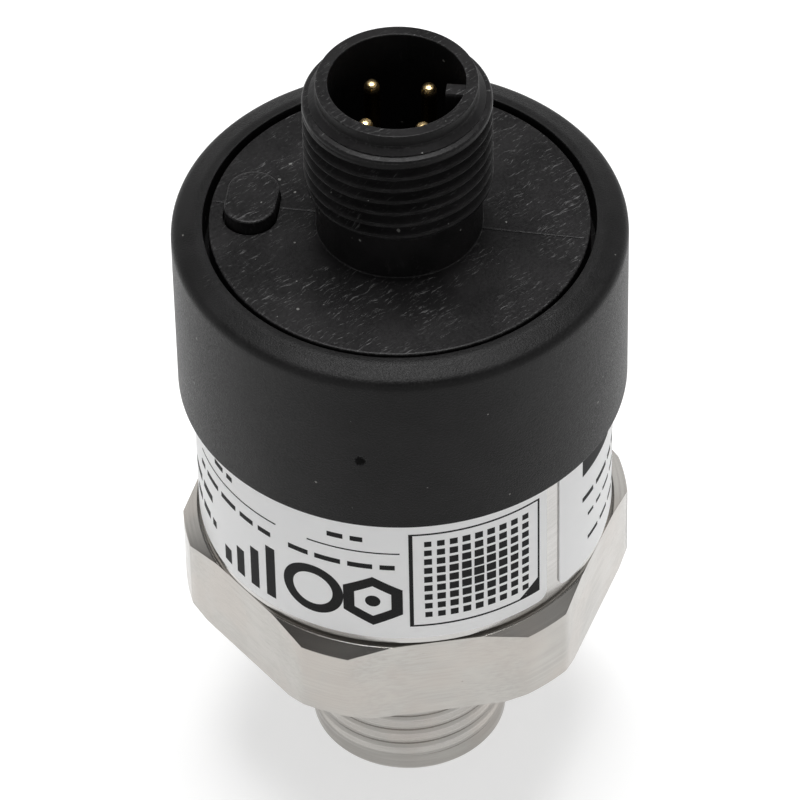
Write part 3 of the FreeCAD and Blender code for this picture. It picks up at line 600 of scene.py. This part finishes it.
cap_path = softened([(0, low[2], 0), (1, low[2], 0.02), (1, high[2], 0.12), (0, high[2], 0)])
cap = piece("vent_cover", [skin(oval_solid(cap_path, vent_turn, centre))],
            face_plastic)
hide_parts("vent_cap")
recess_path = softened([(0, low[2], 0), (RECESS_SHARE, low[2], 0), (RECESS_SHARE, high[2], 0),
                        (0, high[2], 0)])
recess = piece("recess", [skin(oval_solid(recess_path, vent_turn, centre))],
               face_plastic)
carve = plug.modifiers.new("recess", "BOOLEAN")
carve.object, carve.operation, carve.solver = recess, "DIFFERENCE", "EXACT"
bpy.context.view_layer.update()
carved = bpy.data.meshes.new_from_object(
    plug.evaluated_get(bpy.context.evaluated_depsgraph_get()))
plug.modifiers.clear()
carved.set_sharp_from_angle(angle=np.radians(30.0))
plug.data = carved
bpy.data.objects.remove(recess)

# Case. A thin drawn tube of stainless steel stands on the port's crown. A white foil is
# wrapped round it, with its two ends a little apart, and printed with plain marks.
case_steel, tree, shader, place = finish_of("case_steel", Metallic=1.0, Roughness=0.22)
lines = use(tree, turning, {"Place": place, "Fineness": 5.0})
tree.links.new(tint(tree, fade(tree, lines["Tone"], 0.35, 0.65), colour(0.48, 0.47, 0.455),
                    colour(0.54, 0.53, 0.515)), shader["Base Color"])
raised(tree, shader, lines["Height"], 0.002)
dressed(case_steel, "case_sleeve")

foil, tree, shader, place = finish_of("label_foil", Roughness=0.35)
cloud = put(tree, "TexNoise", {"Vector": place, "Scale": 0.6, "Detail": 4.0}).outputs[0]
tree.links.new(tint(tree, cloud, colour(0.93, 0.932, 0.935), colour(0.97, 0.97, 0.965)),
               shader["Base Color"])
raised(tree, shader, cloud, 0.02)
label_low, label_high = (corner[2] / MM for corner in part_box("name_label"))
CASE, FOIL, FIRST, LAST, FOIL_CORNER = 13.55, 13.65, -81.5, 273.5, 0.7
arc = np.radians(LAST - FIRST) * FOIL
along = np.concatenate([FOIL_CORNER * (1 - np.cos(np.linspace(0, np.pi / 2, 9)))[:-1],
                        np.linspace(FOIL_CORNER, arc - FOIL_CORNER, 240),
                        arc - FOIL_CORNER * (1 - np.cos(np.linspace(np.pi / 2, 0, 9)))[1:]])
short = np.maximum(0, FOIL_CORNER - np.minimum(along, arc - along))
trim = FOIL_CORNER - np.sqrt(FOIL_CORNER ** 2 - short ** 2)


def wrapped(along, height, reach):
    """A flat place (along, height) bent round the case: bearing = start + along / radius."""
    bearing = np.radians(FIRST) + along / FOIL
    return np.stack([reach * np.cos(bearing), reach * np.sin(bearing),
                     np.broadcast_to(height, bearing.shape)], -1)


lower, upper = label_low + trim, label_high - trim
rows = np.stack([wrapped(along, lower, CASE), wrapped(along, lower, FOIL),
                 wrapped(along, upper, FOIL), wrapped(along, upper, CASE)], 1)
ends = np.broadcast_to(rows[[0, -1]].mean(1, keepdims=True), (2, 4, 3))
label = piece("label_sheet", [skin(np.concatenate([ends[:1], rows, ends[1:]]))],
              foil, crease=50.0)
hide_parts("name_label")

ink, tree, shader, place = finish_of("label_ink", Roughness=0.6, Specular_IOR_Level=0.15)
cloud = put(tree, "TexNoise", {"Vector": place, "Scale": 12.0, "Detail": 3.0}).outputs[0]
tree.links.new(tint(tree, fade(tree, cloud, 0.35, 0.75), colour(0.006, 0.006, 0.0065),
                    colour(0.014, 0.014, 0.0145)), shader["Base Color"])
raised(tree, shader, cloud, 0.003)
INK_LOW, INK_HIGH = FOIL - 0.01, FOIL + 0.012


def at(bearing):
    """How far along the foil a bearing in degrees lies."""
    return np.radians((bearing - FIRST) % 360) * FOIL


def stroke(first, last, low, high):
    """A printed bar from one bearing to another: its cross-section carried along the foil."""
    along = np.linspace(at(first), at(last), 3 + int(abs(last - first) / 2))
    walls = np.stack([wrapped(along, height, reach) for height, reach in (
        (low, INK_LOW), (low, INK_HIGH), (high, INK_HIGH), (high, INK_LOW))], 1)
    ends = np.broadcast_to(walls[[0, -1]].mean(1, keepdims=True), (2, 4, 3))
    return skin(np.concatenate([ends[:1], walls, ends[1:]]))


def shape(bearing, height, corners, reach, hollow, start=0.0):
    """A printed round or regular polygon: reach cos(pi / n) / cos(angle from a side's middle).

    Its first corner stands at the angle start. It is an outline where hollow, the share of the
    reach that stays open, is above 0.
    """
    turn = np.linspace(0, 2 * np.pi, 73)[:-1] + start
    part = 2 * np.pi / corners
    outline = reach * np.cos(part / 2) / np.cos((turn - start) % part - part / 2)
    plan = np.stack([outline * np.cos(turn), outline * np.sin(turn)], -1)
    rings = [wrapped(at(bearing) + plan[:, 0] * scale, height + plan[:, 1] * scale, level)
             for scale, level in ((hollow, INK_LOW), (1.0, INK_LOW), (1.0, INK_HIGH),
                                  (hollow, INK_HIGH))]
    return skin(np.stack(rings), loop=hollow > 0)


def patch(corners):
    """A printed filled polygon with straight sides between corners (bearing, height)."""
    corners = np.array([(at(bearing), height) for bearing, height in corners])
    share = np.linspace(0, 1, 9)[:-1, None]
    plan = np.concatenate([(1 - share) * first + share * last
                           for first, last in zip(corners, np.roll(corners, -1, 0))])
    middle = plan.mean(0)
    rings = [wrapped(middle[0] + (plan[:, 0] - middle[0]) * scale,
                     middle[1] + (plan[:, 1] - middle[1]) * scale, level)
             for scale, level in ((0, INK_LOW), (1, INK_LOW), (1, INK_HIGH), (0, INK_HIGH))]
    return skin(np.stack(rings))


PANEL_LEFT, PANEL_RIGHT, PANEL_LOW, PANEL_HIGH = 232.4, 270.8, 21.9, 30.5
CELL_LEFT, CELL_LOW, CELL_TURN, CELL_RISE, CELL_REACH = 237.6, 22.95, 3.55, 0.82, 0.5
FINE_LINE, DASH_GAP = 0.14, 2.0
print_marks = [
    stroke(PANEL_LEFT, PANEL_LEFT + 1.1, PANEL_LOW, PANEL_HIGH),
    stroke(PANEL_RIGHT - 0.6, PANEL_RIGHT, PANEL_LOW, PANEL_HIGH),
    stroke(PANEL_LEFT, PANEL_RIGHT, PANEL_LOW, PANEL_LOW + FINE_LINE),
    stroke(PANEL_LEFT, PANEL_RIGHT, PANEL_HIGH - FINE_LINE, PANEL_HIGH),
    patch([(PANEL_RIGHT - 7.5, PANEL_LOW), (PANEL_RIGHT, PANEL_LOW),
           (PANEL_RIGHT, PANEL_LOW + 1.4)]),
    shape(205.2, 24.2, 72, 2.15, 0.66), shape(222.4, 24.2, 6, 2.25, 0.62, np.pi / 6),
    shape(222.4, 24.2, 72, 0.5, 0.0),
    stroke(204.0, 230.0, 28.65, 28.76), stroke(158.0, 194.0, 28.65, 28.76)]
cells = np.arange(9)
print_marks += [
    shape(CELL_LEFT + CELL_TURN * column, CELL_LOW + CELL_RISE * row, 4,
          CELL_REACH - 0.03 * np.hypot(column - 4, row - 4), 0.0, np.pi / 4)
    for column in cells for row in cells]
print_marks += [stroke(172.0 + 6.0 * step, 175.2 + 6.0 * step, 21.6, 22.9 + 1.1 * step)
                for step in range(4)]
spacing = np.random.default_rng(7)
for first, last, height, tall in (
        (198.0, 229.0, 27.2, 0.42), (210.0, 219.0, 29.6, 0.42), (157.0, 192.0, 27.2, 0.42),
        (168.0, 176.0, 29.6, 0.42), (150.0, 166.0, 23.2, 0.6), (148.0, 165.0, 25.2, 0.6),
        (-71.0, -34.0, 26.6, 0.4), (-68.0, -36.0, 24.8, 0.26), (-68.0, -30.0, 22.6, 0.3),
        (-18.0, 40.0, 29.6, 0.3), (-18.0, 46.0, 28.4, 0.3), (-18.0, 30.0, 27.2, 0.3),
        (-18.0, 44.0, 24.6, 0.3), (-18.0, 38.0, 23.4, 0.3), (70.0, 118.0, 29.2, 0.4),
        (70.0, 126.0, 27.6, 0.4), (70.0, 110.0, 26.0, 0.4)):
    while first < last:
        length = spacing.uniform(3.0, 8.0)
        print_marks.append(stroke(first, min(first + length, last + 1), height, height + tall))
        first += length + DASH_GAP
print_marks += [stroke(-71.0, -46.0, 29.0, 30.8), stroke(-18.0, 50.0, 26.0, 26.1),
                stroke(70.0, 126.0, 24.4, 24.5)]
piece("label_print", print_marks, ink, crease=50.0)

# Head cover. A black moulded cap ring slides over the case and traps the disc. Its top slopes
# from the lip to a rounded edge, and it carries a small pit and some dust.
HEAD, BORE, LIP, SEAT, INNER = 14.6, 12.55, 13.05, 13.15, 13.6
HEAD_SLOPE, LIP_DEPTH, SEAT_RISE = 0.52, 2.72, 6.8
# The pit is painted near black inside, painted shade in its hollow; the dot is a pale speck of its
# own colour.
pit, dot = np.radians(-139.2), np.radians(-67.4)
head_plastic = black_plastic(
    "head_plastic", colour(0.0042, 0.0041, 0.0042), colour(0.007, 0.0068, 0.007), rough=0.4,
    fineness=8.0, grain_depth=0.03, wisps=0.62, speck_share=0.06, dust_and_top_light=0.08, wear_and_highlight_share=0.06,
    marks=[((HEAD * np.cos(pit), HEAD * np.sin(pit), 38.06), 0.58, 0.0005),
           ((HEAD * np.cos(dot), HEAD * np.sin(dot), 37.88), 0.1, 0.35)])
foot, top = (corner[2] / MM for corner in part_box("head_ring"))
head_path = softened([
    (INNER, foot, 0.05), (HEAD, foot, 0.12), (HEAD, top - HEAD_SLOPE, 0.5), (LIP, top, 0.2),
    (BORE, top, 0.08), (BORE, top - LIP_DEPTH, 0.05), (SEAT, top - LIP_DEPTH, 0),
    (SEAT, foot + SEAT_RISE, 0), (INNER, foot + SEAT_RISE, 0)], closed=True)
cover = piece("head_cover", [skin(carried(head_path, around), loop=True)],
              head_plastic)
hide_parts("head_ring")

# Studio. A pale floor that glows a little towards the part and is painted darker beyond it towards
# the camera, a painted shadow; a bright horizon, two soft lamps and a camera that looks down on the
# part from the front.
BEARING, RISE, DISTANCE, PIVOT, AIM, ASIDE, ROLL = -38.1, 44.71, 440.4, 35.0, 28.95, 0.224, 1.24
floor, tree, shader, place = finish_of("pale_floor", Roughness=0.9)
shader["Base Color"].default_value = colour(0.6, 0.6, 0.6)
rays = put(tree, "LightPath").outputs
seen = sums(tree, "MAXIMUM", sums(tree, "MAXIMUM", rays["Is Camera Ray"], rays["Is Glossy Ray"]),
            rays["Is Transmission Ray"])
apart = put(tree, "SeparateXYZ", {0: place}).outputs
# The floor's emission strength for camera, glossy and transmission rays falls from 0.56 to 0.12
# between 30 and 60 mm towards the camera. This is a painted shadow on the floor in front of the
# part, seen in the reflections of the metal and the black plastic.
turn = np.radians(BEARING)
near = sums(tree, "ADD", sums(tree, "MULTIPLY", apart[0], float(np.sin(turn))),
            sums(tree, "MULTIPLY", apart[1], -float(np.cos(turn))))
floor_glow_and_painted_shadow = fade(tree, near, 30.0, 60.0, 0.56, 0.12)
floor_glow_and_painted_shadow = put(tree, "Emission", {"Strength": sums(tree, "MULTIPLY", seen, floor_glow_and_painted_shadow)}).outputs[0]
both = put(tree, "AddShader", {0: tree.nodes["Principled BSDF"].outputs[0], 1: floor_glow_and_painted_shadow}).outputs[0]
tree.links.new(both, tree.nodes["Material Output"].inputs["Surface"])
FLOOR = 1.5
mesh = bpy.data.meshes.new("studio_floor")
mesh.from_pydata([(-FLOOR, -FLOOR, 0), (FLOOR, -FLOOR, 0), (FLOOR, FLOOR, 0), (-FLOOR, FLOOR, 0)],
                 [], [(0, 1, 2, 3)])
mesh.materials.append(floor)
ground = bpy.data.objects.new("studio_floor", mesh)
bpy.context.scene.collection.objects.link(ground)

world = bpy.data.worlds.new("studio")
bpy.context.scene.world = world
world.use_nodes = True
tree = world.node_tree
way = put(tree, "SeparateXYZ", {0: put(tree, "TexCoord").outputs["Generated"]}).outputs
level = fade(tree, way[2], 0.28, 0.52, 1.0, 0.1)
tree.links.new(level, tree.nodes["Background"].inputs["Strength"])
tree.nodes["Background"].inputs["Color"].default_value = colour(1, 1, 1)


def lamp(name, bearing, rise, distance, size, level):
    """A square soft lamp that faces the part from a bearing and a rise; power = pi area level."""
    data = bpy.data.lights.new(name, "AREA")
    data.shape, data.size, data.energy = "SQUARE", size, np.pi * size * size * level
    made = bpy.data.objects.new(name, data)
    turn, up = np.radians([bearing, rise])
    made.location = np.array([np.sin(turn) * np.cos(up), -np.cos(turn) * np.cos(up),
                              np.sin(up)]) * distance
    made.rotation_euler = (np.pi / 2 - up, 0, turn)
    bpy.context.scene.collection.objects.link(made)


lamp("top_lamp", bearing=-38, rise=97, distance=0.6, size=0.34, level=9.0)
lamp("right_lamp", bearing=40, rise=52, distance=0.6, size=0.34, level=0.3)

lens = bpy.data.cameras.new("studio_camera")
lens.lens, lens.sensor_width = 306.4, 36.0
lens.clip_start, lens.clip_end = 0.01, 10.0
camera = bpy.data.objects.new("studio_camera", lens)
bpy.context.scene.collection.objects.link(camera)
bpy.context.scene.camera = camera
turn, rise, roll = np.radians([BEARING, RISE, ROLL])
back = np.array([np.sin(turn) * np.cos(rise), -np.cos(turn) * np.cos(rise), np.sin(rise)])
eye = back * DISTANCE + [0, 0, PIVOT]
side = np.array([np.cos(turn), np.sin(turn), 0])
ahead = np.array([0, 0, AIM]) - side * ASIDE - eye
ahead = ahead / np.linalg.norm(ahead)
right = np.cross(ahead, [0, 0, 1])
right = right / np.linalg.norm(right)
over = np.cross(right, ahead)
right, over = (right * np.cos(roll) - over * np.sin(roll),
               over * np.cos(roll) + right * np.sin(roll))
pose = np.eye(4)
pose[:3] = np.stack([right, over, -ahead, eye * MM], 1)
camera.matrix_world = Matrix(pose.tolist())

bpy.context.scene.view_settings.view_transform = "Standard"
for data in bpy.data.meshes:
    if not data.users:
        bpy.data.meshes.remove(data)
